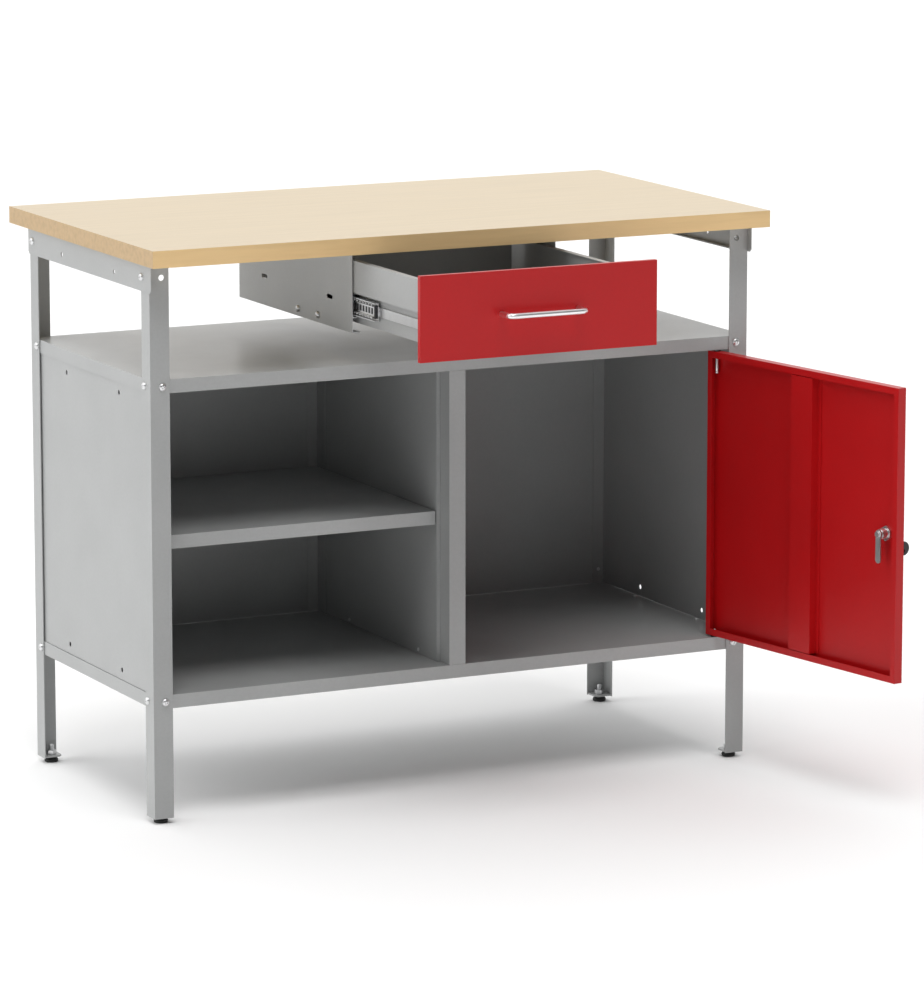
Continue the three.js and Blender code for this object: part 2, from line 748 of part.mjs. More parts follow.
// Each pin passes through the door's folded edge and into a bush in the shelf beside it.
function hingePin(upper) {
  const edge = upper ? DOOR_TOP : DOOR_BOTTOM;
  const outwards = upper ? 1 : -1;
  const reach = upper ? HINGE_PIN_REACH.upper : HINGE_PIN_REACH.lower;
  const inside = upper ? HINGE_PIN_INSIDE.upper : HINGE_PIN_INSIDE.lower;
  const span = [edge + outwards * reach, edge - outwards * inside].sort((a, b) => a - b);
  return bar('z', HINGE_PIN_RADIUS, span, [0, 0], 16);
}

function hingeBush(upper) {
  const face = upper ? UPPER_SHELF_TOP - TRAY_HEIGHT : BOTTOM_SHELF_TOP;
  const outwards = upper ? -1 : 1;
  const collar = [face + outwards * GAP, face + outwards * 1.4].sort((a, b) => a - b);
  const sleeve = [face + outwards * 1, face - outwards * 4].sort((a, b) => a - b);
  const center = hingeAxis();
  const body = joined(
    bar('z', BUSH_RADIUS + 2, collar, center, 18),
    bar('z', BUSH_RADIUS, sleeve, center, 18),
  );
  const bore = bar('z', HINGE_PIN_RADIUS + HINGE_PIN_CLEARANCE, [face - 8, face + 8], center, 16);
  return drilled(body, bore);
}

function lockBarrel() {
  const center = [lockX(), LOCK_Z];
  const collar = bar(
    'y',
    LOCK_COLLAR_RADIUS,
    [DOOR_OUTER_Y - 2.4, DOOR_OUTER_Y - GAP],
    center,
    24,
  );
  const body = bar('y', LOCK_RADIUS, [DOOR_OUTER_Y - 2, DOOR_INNER_Y + 0.8], center, 24);
  const keyway = bar('y', KEY_RADIUS + 0.5, [DOOR_OUTER_Y - 9, DOOR_INNER_Y + 3], center, 14);
  return drilled(joined(collar, body), keyway);
}

function lockNut() {
  const center = [lockX(), LOCK_Z];
  const back = DOOR_OUTER_Y + DOOR_SHEET + GAP;
  const nut = bar('y', LOCK_NUT_RADIUS, [back, back + LOCK_NUT_HEIGHT], center, 6);
  return drilled(nut, bar('y', LOCK_RADIUS + GAP, [back - 1, back + 5], center, 24));
}

function lockCam() {
  const center = [lockX(), LOCK_Z];
  const y = CAM_SPAN.map((distance) => DOOR_INNER_Y + distance);
  const hub = bar('y', CAM_WIDTH / 2, y, center, 20);
  const tipRadius = CAM_WIDTH / 2 - 1;
  const tipZ = LOCK_Z - CAM_LENGTH + tipRadius;
  const blade = box([center[0] - tipRadius, center[0] + tipRadius], y, [tipZ, LOCK_Z]);
  const tip = bar('y', tipRadius, y, [center[0], tipZ], 20);
  const hole = bar('y', KEY_RADIUS + GAP, [y[0] - 1, y[1] + 1], center, 14);
  return drilled(joined(hub, blade, tip), hole);
}

function camScrew() {
  const center = [lockX(), LOCK_Z];
  const head = DOOR_INNER_Y + CAM_SPAN[1] + GAP;
  return bar('y', 4.5, [head, head + 2.6], center, 6);
}

// The plug turns inside the barrel; the folding key's stem stands out of it.
function keyStem() {
  return bar('y', KEY_RADIUS, [KEY_HINGE_Y - 2, DOOR_INNER_Y + 3.2], [lockX(), LOCK_Z], 14);
}

const KEY_HINGE_Y = DOOR_OUTER_Y - 19;

function keyBow() {
  const thickness = 5;
  const x = [lockX() - thickness / 2, lockX() + thickness / 2];
  const bowRadius = 10.5;
  const bowCenter = [KEY_HINGE_Y - 11, LOCK_Z - 26];
  const disc = bar('x', bowRadius, x, bowCenter, 24);
  const ringHole = bar('x', 3, [x[0] - 1, x[1] + 1], [bowCenter[0], bowCenter[1] - 4], 16);
  const neck = box(x, [KEY_HINGE_Y - 9, KEY_HINGE_Y - 2.4], [LOCK_Z - 22, LOCK_Z + 4]);
  return drilled(joined(disc, neck), ringHole);
}

// ---- assembly -----------------------------------------------------------------------------

const bench = new THREE.Group();
bench.position.z = -BENCH_HEIGHT;

const doorGroup = new THREE.Group();
doorGroup.position.set(...hingeAxis(), 0);
doorGroup.rotation.z = THREE.MathUtils.degToRad(DOOR_OPEN_DEGREES);
bench.add(doorGroup);

piece('worktop', worktop(), boardMaterial, bench);
for (const [side, sign] of SIDES) {
  for (const [end, back] of [['front', false], ['rear', true]]) {
    piece(`leg_${end}_${side}`, onSide(leg(back), sign), greyPaint, bench);
    piece(`foot_plate_${end}_${side}`, onSide(footPlate(back), sign), greyPaint, bench);
    piece(`foot_${end}_${side}`, onSide(levellingFoot(back), sign), rubberMaterial, bench);
    piece(`foot_nut_${end}_${side}`, onSide(footNut(back), sign), zincMaterial, bench);
  }
  piece(`side_rail_${side}`, onSide(sideRail(), sign), greyPaint, bench);
  piece(`side_panel_${side}`, onSide(sidePanel(), sign), greyPaint, bench);
  piece(`drawer_housing_${side}`, onSide(housingSide(), sign), greyPaint, bench);
  piece(`slide_outer_${side}`, onSide(outerSlide(), sign), zincMaterial, bench);
  piece(`slide_middle_${side}`, onSide(middleSlide(), sign), zincMaterial, bench);
  piece(`slide_inner_${side}`, onSide(innerSlide(), sign), zincMaterial, bench);
  piece(`drawer_side_${side}`, onSide(drawerSide(), sign), greyPaint, bench);
  piece(`handle_post_${side}`, onSide(handlePost(), sign), chromeMaterial, bench);
}
piece('upper_shelf', upperShelf(), greyPaint, bench);
piece('middle_shelf', middleShelf(), greyPaint, bench);
piece('bottom_shelf', bottomShelf(), greyPaint, bench);
piece('back_panel', backPanel(), greyPaint, bench);
piece('divider', divider(), greyPaint, bench);
piece('front_post', frontPost(), greyPaint, bench);
piece('rear_post', rearPost(), greyPaint, bench);
piece('drawer_bottom', drawerBottom(), greyPaint, bench);
piece('drawer_back', drawerBack(), greyPaint, bench);
piece('drawer_box_front', drawerBoxFront(), greyPaint, bench);
piece('drawer_housing_back', housingBack(), greyPaint, bench);
piece('drawer_front', drawerFront(), redPaint, bench);
piece('handle_bar', handleBar(), chromeMaterial, bench);
piece('door_panel', doorPanel(), redPaint, doorGroup);
piece('door_stiffener', doorStiffener(), redPaint, doorGroup);
for (const [level, upper] of [['upper', true], ['lower', false]]) {
  piece(`hinge_pin_${level}`, hingePin(upper), zincMaterial, doorGroup);
  piece(`hinge_bush_${level}`, hingeBush(upper), plasticMaterial, bench);
}
piece('lock_barrel', lockBarrel(), chromeMaterial, doorGroup);
piece('lock_nut', lockNut(), zincMaterial, doorGroup);
piece('lock_cam', lockCam(), zincMaterial, doorGroup);
piece('lock_cam_screw', camScrew(), zincMaterial, doorGroup);
piece('key_stem', keyStem(), zincMaterial, doorGroup);
piece('key_bow', keyBow(), plasticMaterial, doorGroup);

export default bench;
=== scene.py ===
# Looks of the workbench: materials, fasteners, handle, feet, lock, light and camera.
import json
import math

import bmesh
import bpy
from mathutils import Matrix, Vector


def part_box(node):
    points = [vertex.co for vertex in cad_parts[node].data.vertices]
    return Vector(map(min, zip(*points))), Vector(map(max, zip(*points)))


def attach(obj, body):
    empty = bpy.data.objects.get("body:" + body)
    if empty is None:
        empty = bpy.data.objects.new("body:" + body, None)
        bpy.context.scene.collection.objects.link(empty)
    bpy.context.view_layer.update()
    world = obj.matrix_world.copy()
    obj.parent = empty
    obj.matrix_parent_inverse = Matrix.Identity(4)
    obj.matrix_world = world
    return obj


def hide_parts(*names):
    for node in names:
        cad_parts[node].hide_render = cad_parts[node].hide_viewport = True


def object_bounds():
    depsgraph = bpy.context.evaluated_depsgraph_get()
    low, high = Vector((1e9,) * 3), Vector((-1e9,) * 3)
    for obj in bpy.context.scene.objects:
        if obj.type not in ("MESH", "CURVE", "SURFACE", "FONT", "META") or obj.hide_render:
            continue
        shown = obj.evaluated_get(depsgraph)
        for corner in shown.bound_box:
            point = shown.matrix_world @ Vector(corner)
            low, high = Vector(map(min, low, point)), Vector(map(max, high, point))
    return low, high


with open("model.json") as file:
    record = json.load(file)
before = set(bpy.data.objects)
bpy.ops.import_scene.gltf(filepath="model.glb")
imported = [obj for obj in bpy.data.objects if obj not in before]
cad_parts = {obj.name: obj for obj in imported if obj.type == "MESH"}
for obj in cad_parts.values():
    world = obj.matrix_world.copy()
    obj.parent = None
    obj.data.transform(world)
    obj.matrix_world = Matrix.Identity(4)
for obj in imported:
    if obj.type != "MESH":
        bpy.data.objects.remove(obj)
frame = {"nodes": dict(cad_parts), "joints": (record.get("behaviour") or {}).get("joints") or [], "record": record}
cad_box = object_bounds()
nodes = frame["nodes"]
mm = 0.001
SIDES = (("left", -1), ("right", 1))
ENDS = (("front", -1), ("rear", 1))


def low(node):
    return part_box(node)[0]


def high(node):
    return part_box(node)[1]


def middle(node):
    return (low(node) + high(node)) / 2


def outer(lo, hi, sign):
    """The bound of an interval on the side that the sign points to."""
    return lo if sign < 0 else hi


# ---- materials ----------------------------------------------------------------------------


class Nodes:
    """Short words for building one node material."""

    def __init__(self, name, color, roughness, metallic=0.0):
        self.material = bpy.data.materials.new(name)
        self.material.use_nodes = True
        self.tree = self.material.node_tree
        self.shader = self.tree.nodes["Principled BSDF"]
        self.shader.inputs["Base Color"].default_value = (*color, 1)
        self.shader.inputs["Roughness"].default_value = roughness
        self.shader.inputs["Metallic"].default_value = metallic
        self.place = self.add("ShaderNodeTexCoord").outputs["Object"]

    def add(self, kind, **settings):
        node = self.tree.nodes.new(kind)
        for key, value in settings.items():
            setattr(node, key, value)
        return node

    def link(self, out, to):
        self.tree.links.new(out, to)

    def noise(self, scale, detail=4.0, stretch=(1, 1, 1)):
        mapping = self.add("ShaderNodeMapping")
        mapping.inputs["Scale"].default_value = stretch
        self.link(self.place, mapping.inputs["Vector"])
        noise = self.add("ShaderNodeTexNoise")
        noise.inputs["Scale"].default_value = scale
        noise.inputs["Detail"].default_value = detail
        self.link(mapping.outputs["Vector"], noise.inputs["Vector"])
        return noise.outputs["Fac"]

    def ramp(self, value, stops):
        ramp = self.add("ShaderNodeValToRGB")
        elements = ramp.color_ramp.elements
        for element, (position, color) in zip(elements, (stops[0], stops[-1])):
            element.position = position
            element.color = (*color, 1)
        for position, color in stops[1:-1]:
            elements.new(position).color = (*color, 1)
        self.link(value, ramp.inputs["Fac"])
        return ramp.outputs["Color"]

    def span(self, value, from_low, from_high, to_low, to_high):
        node = self.add("ShaderNodeMapRange")
        node.inputs["From Min"].default_value = from_low
        node.inputs["From Max"].default_value = from_high
        node.inputs["To Min"].default_value = to_low
        node.inputs["To Max"].default_value = to_high
        self.link(value, node.inputs["Value"])
        return node.outputs["Result"]

    def mix(self, factor, a, b, blend="MIX"):
        node = self.add("ShaderNodeMix", data_type="RGBA", blend_type=blend)
        self.link(factor, node.inputs["Factor"])
        for value, socket in ((a, node.inputs[6]), (b, node.inputs[7])):
            if isinstance(value, tuple):
                socket.default_value = (*value, 1)
            else:
                self.link(value, socket)
        return node.outputs[2]

    def bump(self, height, strength, distance):
        node = self.add("ShaderNodeBump")
        node.inputs["Strength"].default_value = strength
        node.inputs["Distance"].default_value = distance
        self.link(height, node.inputs["Height"])
        if self.shader.inputs["Normal"].is_linked:
            before = self.shader.inputs["Normal"].links[0].from_socket
            self.link(before, node.inputs["Normal"])
        self.link(node.outputs["Normal"], self.shader.inputs["Normal"])

    def facing(self, axis):
        """1 where the surface looks along the axis, either way, and 0 where it looks across it."""
        normal = self.add("ShaderNodeSeparateXYZ")
        self.link(self.add("ShaderNodeNewGeometry").outputs["Normal"], normal.inputs["Vector"])
        size = self.add("ShaderNodeMath", operation="ABSOLUTE")
        self.link(normal.outputs[axis], size.inputs[0])
        return self.span(size.outputs[0], 0.45, 0.8, 0, 1)

    def color(self, socket):
        self.link(socket, self.shader.inputs["Base Color"])

    def roughness(self, socket):
        self.link(socket, self.shader.inputs["Roughness"])


def shade(color, k):
    return tuple(min(1.0, c * k) for c in color)


def powder_coat(name, color, roughness, orange_peel=0.10, specular=0.5):
    n = Nodes(name, color, roughness)
    n.shader.inputs["Specular IOR Level"].default_value = specular
    broad = n.noise(7, 3)
    fine = n.noise(260, 2)
    tone = n.ramp(broad, [(0.30, shade(color, 0.955)), (0.70, shade(color, 1.035))])
    fleck = n.ramp(fine, [(0.35, (0.965, 0.965, 0.965)), (0.65, (1, 1, 1))])
    n.color(n.mix(n.span(broad, 0, 1, 0.8, 1.0), tone, fleck, "MULTIPLY"))
    n.roughness(n.span(n.noise(22, 2), 0.2, 0.8, roughness - 0.02, roughness + 0.03))
    n.bump(fine, orange_peel, 0.0002)
    return n.material


def board():
    """Grain along the board on its top and long edges, and chipboard specks on its ends."""
    top, edge, end = (0.665, 0.553, 0.392), (0.86, 0.60, 0.295), (0.54, 0.375, 0.197)
    n = Nodes("pale_board", top, 0.48)
    grain = n.noise(9, 9, (0.55, 9, 4))
    streak = n.noise(26, 6, (0.35, 14, 6))
    specks = n.noise(120, 4)
    face = n.ramp(grain, [(0.30, shade(top, 0.955)), (0.52, top), (0.72, shade(top, 1.03))])
    long_side = n.ramp(grain, [(0.30, shade(edge, 0.90)), (0.52, edge), (0.72, shade(edge, 1.05))])
    end_side = n.ramp(specks, [(0.35, shade(end, 0.90)), (0.52, end), (0.68, shade(end, 1.05))])
    side = n.mix(n.facing("X"), long_side, end_side)
    mixed = n.mix(n.facing("Z"), side, face)
    fibre = n.ramp(streak, [(0.38, (0.955, 0.945, 0.93)), (0.55, (1, 1, 1))])
    n.color(n.mix(n.span(grain, 0, 1, 0.5, 0.9), mixed, fibre, "MULTIPLY"))
    n.roughness(n.span(streak, 0.3, 0.7, 0.42, 0.56))
    n.bump(streak, 0.10, 0.0004)
    return n.material


def bare_metal(name, color, roughness, brushed):
    n = Nodes(name, color, roughness, 1.0)
    lines = n.noise(90, 5, brushed)
    clouds = n.noise(60, 4)
    n.color(n.ramp(clouds, [(0.3, shade(color, 0.95)), (0.7, shade(color, 1.04))]))
    n.roughness(n.span(lines, 0.3, 0.7, roughness * 0.88, roughness * 1.15))
    n.bump(lines, 0.02, 0.0001)
    return n.material


def moulded(name, color, roughness):
    n = Nodes(name, color, roughness)
    grain = n.noise(700, 3)
    dust = n.noise(40, 5)
    n.color(n.ramp(dust, [(0.35, color), (0.75, shade(color, 1.9))]))
    n.roughness(n.span(dust, 0.3, 0.7, roughness - 0.08, roughness + 0.1))
    n.bump(grain, 0.25, 0.0003)
    return n.material


# No roughness here goes below 0.28: a surface that crosses about 0.27 renders with hard-edged
# patches.
LOOKS = {
    "board": board(),
    "grey_paint": powder_coat("grey_powder_coat", (0.400, 0.408, 0.406), 0.31, 0.05),
    "red_paint": powder_coat("red_powder_coat", (0.50, 0.006, 0.008), 0.33, specular=0.32),
    "zinc": bare_metal("zinc_plate", (0.74, 0.745, 0.75), 0.32, (1, 5, 5)),
    "chrome": bare_metal("polished_chrome", (0.90, 0.90, 0.91), 0.32, (4, 1, 1)),
    "black_rubber": moulded("black_rubber", (0.012, 0.012, 0.012), 0.62),
    "black_plastic": moulded("black_plastic", (0.014, 0.014, 0.016), 0.42),
}


def paint(obj, slot, body):
    obj.data.materials.clear()
    obj.data.materials.append(LOOKS[slot])
    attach(obj, body)
    return obj


BEVELLED_ABOVE = 35  # degrees between two faces


def soften(obj, width, segments=2):
    """Rounds the edges the way folding and coating leave them."""
    bevel = obj.modifiers.new("soft_edges", "BEVEL")
    bevel.width = width
    bevel.segments = segments
    bevel.limit_method = "ANGLE"
    bevel.angle_limit = math.radians(BEVELLED_ABOVE)
    bevel.use_clamp_overlap = True


SHEET_EDGE = 0.3 * mm
EDGE = {
    "worktop": 1.1 * mm,
    "door_panel": 0.45 * mm,
    "drawer_front": 0.45 * mm,
    "key_bow": 0.9 * mm,
}
slot_of = {part["node"]: part["material_slot"] for part in frame["record"]["subparts"]}
for name, node in nodes.items():
    node.data.materials.clear()
    node.data.materials.append(LOOKS[slot_of[name]])
    for layer in [a for a in node.data.attributes if a.name == "custom_normal"]:
        node.data.attributes.remove(layer)
    node.data.shade_flat()
    soften(node, EDGE.get(name, SHEET_EDGE))


# ---- mesh builders ------------------------------------------------------------------------


def turn_to(axis):
    return Vector((0, 0, 1)).rotation_difference(Vector(axis)).to_matrix().to_4x4()


def mesh_object(name, bm, smooth_below=40):
    bmesh.ops.remove_doubles(bm, verts=bm.verts, dist=1e-7)
    bmesh.ops.recalc_face_normals(bm, faces=bm.faces)
    for face in bm.faces:
        face.smooth = True
    mesh = bpy.data.meshes.new(name)
    bm.to_mesh(mesh)
    bm.free()
    mesh.set_sharp_from_angle(angle=math.radians(smooth_below))
    obj = bpy.data.objects.new(name, mesh)
    bpy.context.scene.collection.objects.link(obj)
    return obj


def add_lathe(bm, profile, at, axis, sides=40):
    """A solid of revolution: profile holds (radius, height) pairs from one end to the other."""
    place = Matrix.Translation(at) @ turn_to(axis)
    rings = []
    for radius, height in profile:
        if radius < 1e-9:
            rings.append([bm.verts.new(place @ Vector((0, 0, height)))])
            continue
        ring = []
        for i in range(sides):
            angle = 2 * math.pi * i / sides
            point = Vector((radius * math.cos(angle), radius * math.sin(angle), height))
            ring.append(bm.verts.new(place @ point))
        rings.append(ring)
    for a, b in zip(rings, rings[1:]):
        for i in range(sides):
            j = (i + 1) % sides
            corners = [a[i % len(a)], a[j % len(a)], b[j % len(b)], b[i % len(b)]]
            unique = list(dict.fromkeys(corners))
            if len(unique) > 2:
                bm.faces.new(unique)


def lathe(name, profile, at, axis, sides=40):
    bm = bmesh.new()
    add_lathe(bm, profile, at, axis, sides)
    return mesh_object(name, bm)


def add_box(bm, lo, hi):
    lo, hi = Vector(lo), Vector(hi)
    size = Matrix.Diagonal((*(hi - lo), 1))
    bmesh.ops.create_cube(bm, size=1, matrix=Matrix.Translation((lo + hi) / 2) @ size)


def fillet(path, radius, steps=8):
    """Rounds the corners of a path of points."""
    out = [path[0]]
    for before, corner, after in zip(path, path[1:], path[2:]):
        start = corner + (before - corner).normalized() * radius
        end = corner + (after - corner).normalized() * radius
        for i in range(steps + 1):
            t = i / steps
            out.append((1 - t) ** 2 * start + 2 * t * (1 - t) * corner + t * t * end)
    out.append(path[-1])
    return out


def rod(name, path, radius, sides=28):
    """A round rod along a path that lies in one plane, its ends closed."""
    bm = bmesh.new()
    normal = (path[1] - path[0]).cross(path[-1] - path[0]).normalized()
    rings = []
    for i, point in enumerate(path):
        along = (path[min(i + 1, len(path) - 1)] - path[max(i - 1, 0)]).normalized()
        across = along.cross(normal).normalized()
        ring = []
        for k in range(sides):
            angle = 2 * math.pi * k / sides
            offset = across * math.cos(angle) + normal * math.sin(angle)
            ring.append(bm.verts.new(point + offset * radius))
        rings.append(ring)
    for a, b in zip(rings, rings[1:]):
        for k in range(sides):
            j = (k + 1) % sides
            bm.faces.new([a[k], a[j], b[j], b[k]])
    bm.faces.new(rings[0])
    bm.faces.new(rings[-1])
    return mesh_object(name, bm)


# ---- fasteners ----------------------------------------------------------------------------

# Profiles of (radius, height) in millimetres.
HEAD = [
    (0, 2.3), (1.5, 2.3), (2.1, 3.5), (3.4, 3.3), (4.9, 2.3),
    (5.6, 1.1), (5.75, 0.4), (5.75, 0), (0, 0),
]
SMALL_HEAD = [
    (0, 1.1), (0.9, 1.1), (1.2, 1.8), (2.1, 1.6), (2.9, 0.9),
    (3.1, 0.3), (3.1, 0), (0, 0),
]
NUT = [(2.9, 4.6), (4.6, 5.0), (5.75, 4.5), (5.75, 0.5), (4.9, 0), (2.9, 0)]
SHANK = [(0, 7.4), (2.3, 7.4), (2.9, 6.8), (2.9, 0), (0, 0)]

# Sizes of the screws and bolts, against their profiles.
HOUSING_BOLT_SIZE = 0.95
WIDE_SCREW_SIZE = 1.2
NARROW_SCREW_SIZE = 0.95
SLIDE_SCREW_SIZE = 0.9

# Where they sit. A measure that ends in IN is counted inwards from the outer corner.
FACE_BOLT_IN = 18.5 * mm
SIDE_BOLT_IN = 22 * mm
RAIL_BOLT_IN = {"front": 24 * mm, "rear": 14 * mm}
LEG_SHEET = 1.6 * mm
LEG_AND_TRAY = 3.2 * mm
HOUSING_SCREWS_Y = (-105.7 * mm, -35.7 * mm)
HOUSING_SCREWS_RISE = 11.2 * mm
HOUSING_LIP = 1.2 * mm
HOUSING_TOP_SCREWS = (159.5 * mm, (-190 * mm, -20 * mm, 140 * mm))
RAIL_LIP = 1.5 * mm
WORKTOP_SCREWS = (480.5 * mm, (-150 * mm, 0, 150 * mm))


def scaled(profile, k=mm):
    return [(r * k, h * k) for r, h in profile]


def bolt(name, at, axis, body, size=1.0):
    paint(lathe(name, scaled(HEAD, mm * size), Vector(at), axis, 32), "zinc", body)


def screw(name, at, axis, body, size):
    paint(lathe(name, scaled(SMALL_HEAD, mm * size), Vector(at), axis, 32), "zinc", body)


def nut_on_bolt(name, at, axis, body):
    bm = bmesh.new()
    add_lathe(bm, scaled(NUT), Vector(at), axis, 6)
    add_lathe(bm, scaled(SHANK), Vector(at), axis, 20)
    paint(mesh_object(name, bm, 30), "zinc", body)


for side, sx in SIDES:
    rail = f"side_rail_{side}"
    rail_lo, rail_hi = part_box(rail)
    for end, sy in ENDS:
        leg = f"leg_{end}_{side}"
        lo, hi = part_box(leg)
        corner_x = outer(lo.x, hi.x, sx)
        corner_y = outer(lo.y, hi.y, sy)
        inner_x = corner_x - sx * LEG_AND_TRAY
        inner_y = corner_y - sy * LEG_AND_TRAY
        x = corner_x - sx * FACE_BOLT_IN
        y = corner_y - sy * SIDE_BOLT_IN
        for level, shelf in (("upper", "upper_shelf"), ("lower", "bottom_shelf")):
            z = middle(shelf).z
            bolt(f"{leg}_face_bolt_{level}", (x, corner_y, z), (0, sy, 0), "frame")
            nut_on_bolt(f"{leg}_face_nut_{level}", (x, inner_y, z), (0, -sy, 0), "frame")
            bolt(f"{leg}_side_bolt_{level}", (corner_x, y, z), (sx, 0, 0), "frame")
            nut_on_bolt(f"{leg}_side_nut_{level}", (inner_x, y, z), (-sx, 0, 0), "frame")
        z = middle(rail).z
        y = corner_y - sy * RAIL_BOLT_IN[end]
        bolt(f"{leg}_rail_bolt", (outer(rail_lo.x, rail_hi.x, sx), y, z), (sx, 0, 0), "frame")
        inner_x = corner_x - sx * LEG_SHEET
        nut_on_bolt(f"{leg}_rail_nut", (inner_x, y, z), (-sx, 0, 0), "frame")

    housing = f"drawer_housing_{side}"
    lo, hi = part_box(housing)
    for i, y in enumerate(HOUSING_SCREWS_Y):
        at = (outer(lo.x, hi.x, sx), y, lo.z + HOUSING_SCREWS_RISE)
        bolt(f"{housing}_screw_{i + 1}", at, (sx, 0, 0), "frame", HOUSING_BOLT_SIZE)
    x, ys = WORKTOP_SCREWS
    for i, y in enumerate(ys):
        at = (sx * x, y, rail_hi.z - RAIL_LIP)
        screw(f"worktop_screw_{side}_{i + 1}", at, (0, 0, -1), "frame", WIDE_SCREW_SIZE)
    x, ys = HOUSING_TOP_SCREWS
    for i, y in enumerate(ys):
        at = (sx * x, y, hi.z - HOUSING_LIP)
        screw(f"{housing}_top_screw_{i + 1}", at, (0, 0, -1), "frame", WIDE_SCREW_SIZE)


# ---- drawer: handle, slide balls and screws -----------------------------------------------

HANDLE_BEND = 9 * mm

bar_lo, bar_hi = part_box("handle_bar")
bar = middle("handle_bar")
rod_radius = (bar_hi.z - bar_lo.z) / 2
post_x = bar_hi.x - rod_radius
root_y = high("handle_post_left").y
corners = [
    Vector((-post_x, root_y, bar.z)),
    Vector((-post_x, bar.y, bar.z)),
    Vector((post_x, bar.y, bar.z)),
    Vector((post_x, root_y, bar.z)),
]
handle = rod("bent_handle", fillet(corners, HANDLE_BEND, 10), rod_radius)
paint(handle, "chrome", "drawer")
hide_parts("handle_bar", "handle_post_left", "handle_post_right")


def add_span(bm, sx, web, depth, ys, zs):
    """A box in a slide channel: depth is counted from the web towards the channel's mouth."""
    xs = sorted(web + sx * d for d in depth)
    add_box(bm, (xs[0], ys[0], zs[0]), (xs[1], ys[1], zs[1]))


def add_ball(bm, center, radius):
    arc = [math.pi * k / 10 for k in range(11)]
    profile = [(radius * math.sin(a), radius * math.cos(a)) for a in arc]
    add_lathe(bm, [(0 if r < 1e-7 else r, h) for r, h in profile], center, (0, 0, 1), 16)


CHANNEL_SHEET = 1.2 * mm
# Half heights of the black liner, a dark sheet that paints the shade in the channel, and of the inside of the
# channel.
SHADE_LINER_HALF = 8.6 * mm
CHANNEL_HALF = 9.6 * mm
LINER_LIP_SHEET = 1.6 * mm
# Depths from the channel's web towards its mouth.
# The liner floor is painted shade: a black sheet on the web that darkens the channel.
SHADE_LINER_FLOOR = (0.2 * mm, 1.0 * mm)
LINER_LIP = (1.0 * mm, 4.6 * mm)
LINER_END = (0.2 * mm, 4.6 * mm)
CAGE_FLOOR = (1.4 * mm, 2.2 * mm)
CAGE_LIP = (1.4 * mm, 5.0 * mm)
BALL_DEPTH = 3.2 * mm
BALL_RADIUS = 1.9 * mm
CAGE_BARS = 9
CAGE_PITCH = 9.75
CAGE_BAR = 3 * mm
CAGE_BAR_HALF = 4.5 * mm
CAGE_STRIP = 3.0 * mm
DRAWER_SIDE_STEP = 10.5 * mm


def slide_stop_and_shade_liner(side, sx, web, front, mid):
    """A black liner on the web that paints the shade in the middle channel, with the plastic end piece and lips of
    the stop in its front.
    """
    bm = bmesh.new()
    # Painted shade: a black sheet along the web, darkening the channel behind the ball cage.
    shade_liner_y = (front + 5 * mm, front + 92 * mm)
    add_span(bm, sx, web, SHADE_LINER_FLOOR, shade_liner_y, (mid - SHADE_LINER_HALF, mid + SHADE_LINER_HALF))
    lip_y = (front + 3 * mm, front + 8 * mm)
    for z in (mid - CHANNEL_HALF, mid + CHANNEL_HALF - LINER_LIP_SHEET):
        add_span(bm, sx, web, LINER_LIP, lip_y, (z, z + LINER_LIP_SHEET))
    end_y = (front + 1 * mm, front + 4 * mm)
    add_span(bm, sx, web, LINER_END, end_y, (mid - CHANNEL_HALF, mid + CHANNEL_HALF))
    stop = mesh_object(f"slide_stop_and_shade_liner_{side}", bm)
    soften(stop, SHEET_EDGE)
    return stop


def ball_cage(side, sx, web, front, mid):
    """Two rows of balls held by a ladder of thin sheet."""
    bm = bmesh.new()
    cage_y = (front + 9 * mm, front + 90 * mm)
    for z in (mid - 7.4 * mm, mid + 4.4 * mm):
        add_span(bm, sx, web, CAGE_FLOOR, cage_y, (z, z + CAGE_STRIP))
    for i in range(CAGE_BARS):
        y = front + (9 + CAGE_PITCH * i) * mm
        bar_z = (mid - CAGE_BAR_HALF, mid + CAGE_BAR_HALF)
        add_span(bm, sx, web, CAGE_FLOOR, (y, y + CAGE_BAR), bar_z)
        for up in (-1, 1):
            center = Vector((web + sx * BALL_DEPTH, y + 5 * mm, mid + up * CHANNEL_HALF))
            add_ball(bm, center, BALL_RADIUS)
    for up in (-1, 1):
        zs = sorted((mid + up * 7.0 * mm, mid + up * 7.6 * mm))
        add_span(bm, sx, web, CAGE_LIP, cage_y, zs)
    return mesh_object(f"ball_cage_{side}", bm)


for side, sx in SIDES:
    channel = f"slide_middle_{side}"
    lo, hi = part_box(channel)
    web = outer(hi.x, lo.x, sx) + sx * CHANNEL_SHEET
    mid = (lo.z + hi.z) / 2
    # Black plastic stop, and a black liner that paints the shade in the channel.
    paint(slide_stop_and_shade_liner(side, sx, web, lo.y, mid), "black_plastic", channel)
    paint(ball_cage(side, sx, web, lo.y, mid), "zinc", channel)

    lo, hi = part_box(f"slide_inner_{side}")
    wall_lo, wall_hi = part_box(f"drawer_side_{side}")
    wall = outer(wall_lo.x, wall_hi.x, sx) - sx * DRAWER_SIDE_STEP
    for i, y in enumerate((lo.y + 25 * mm, lo.y + 190 * mm, hi.y - 30 * mm)):
        at = (wall, y, (lo.z + hi.z) / 2)
        name = f"drawer_side_{side}_screw_{i + 1}"
        screw(name, at, (-sx, 0, 0), "drawer", SLIDE_SCREW_SIZE)


# ---- small screws inside the cabinet and the open bays ------------------------------------

FLOOR_SCREWS_Y = (-99 * mm, 101 * mm)
FLOOR_SCREWS_IN = 7 * mm
BACK_SCREWS_IN = 10 * mm
BACK_SCREWS_RISE = 22 * mm
BACK_SCREWS_DROP = 40 * mm
BACK_SHEET = 1 * mm
DIVIDER_SCREWS_Y = (-136 * mm, 106 * mm)
DIVIDER_SCREWS_RISE = 7 * mm
DIVIDER_SCREWS_DROP = 9 * mm

